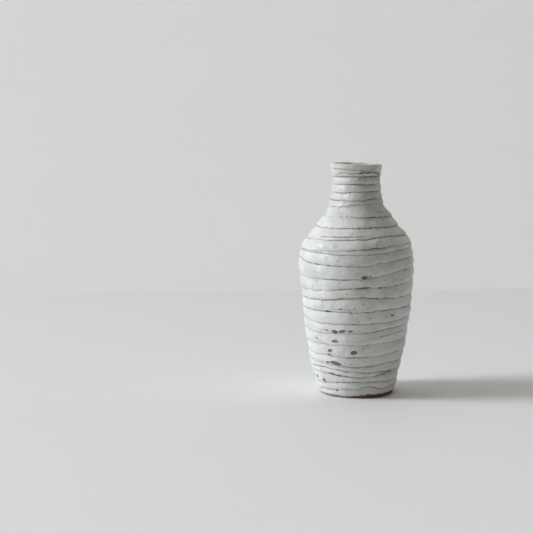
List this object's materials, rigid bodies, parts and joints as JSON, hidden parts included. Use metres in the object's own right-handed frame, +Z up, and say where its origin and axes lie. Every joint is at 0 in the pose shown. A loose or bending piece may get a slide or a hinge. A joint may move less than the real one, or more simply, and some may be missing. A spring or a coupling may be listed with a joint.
{
  "type": "bud vase",
  "caption": "Coil-built ceramic bud vase: oval shouldered body, short narrow neck and open mouth, stacked clay coils on a flat base slab.",
  "frame": {"origin": "centre of the flat underside of the base slab, where the vase stands", "axes": "+Z up along the axis of the vase, from the foot to the mouth; -Y is the front and +X the right side"},
  "size_m": [0.075, 0.075, 0.1504],
  "materials": {
    "bare_clay": "unglazed brown stoneware",
    "white_glaze": "satin white glaze"
  },
  "bodies": {
    "root": {"base_slab": "bare_clay", "foot_coil_1": "white_glaze", "foot_coil_2": "white_glaze", "foot_coil_3": "white_glaze", "lower_wall_coil_1": "white_glaze", "lower_wall_coil_2": "white_glaze", "lower_wall_coil_3": "white_glaze", "lower_wall_coil_4": "white_glaze", "lower_wall_coil_5": "white_glaze", "belly_coil_1": "white_glaze", "belly_coil_2": "white_glaze", "belly_coil_3": "white_glaze", "belly_coil_4": "white_glaze", "belly_coil_5": "white_glaze", "shoulder_coil_1": "white_glaze", "shoulder_coil_2": "white_glaze", "shoulder_coil_3": "white_glaze", "shoulder_coil_4": "white_glaze", "shoulder_coil_5": "white_glaze", "shoulder_coil_6": "white_glaze", "neck_coil_1": "white_glaze", "neck_coil_2": "white_glaze", "neck_coil_3": "white_glaze", "neck_coil_4": "white_glaze", "rim_coil": "white_glaze"}
  },
  "joints": []
}
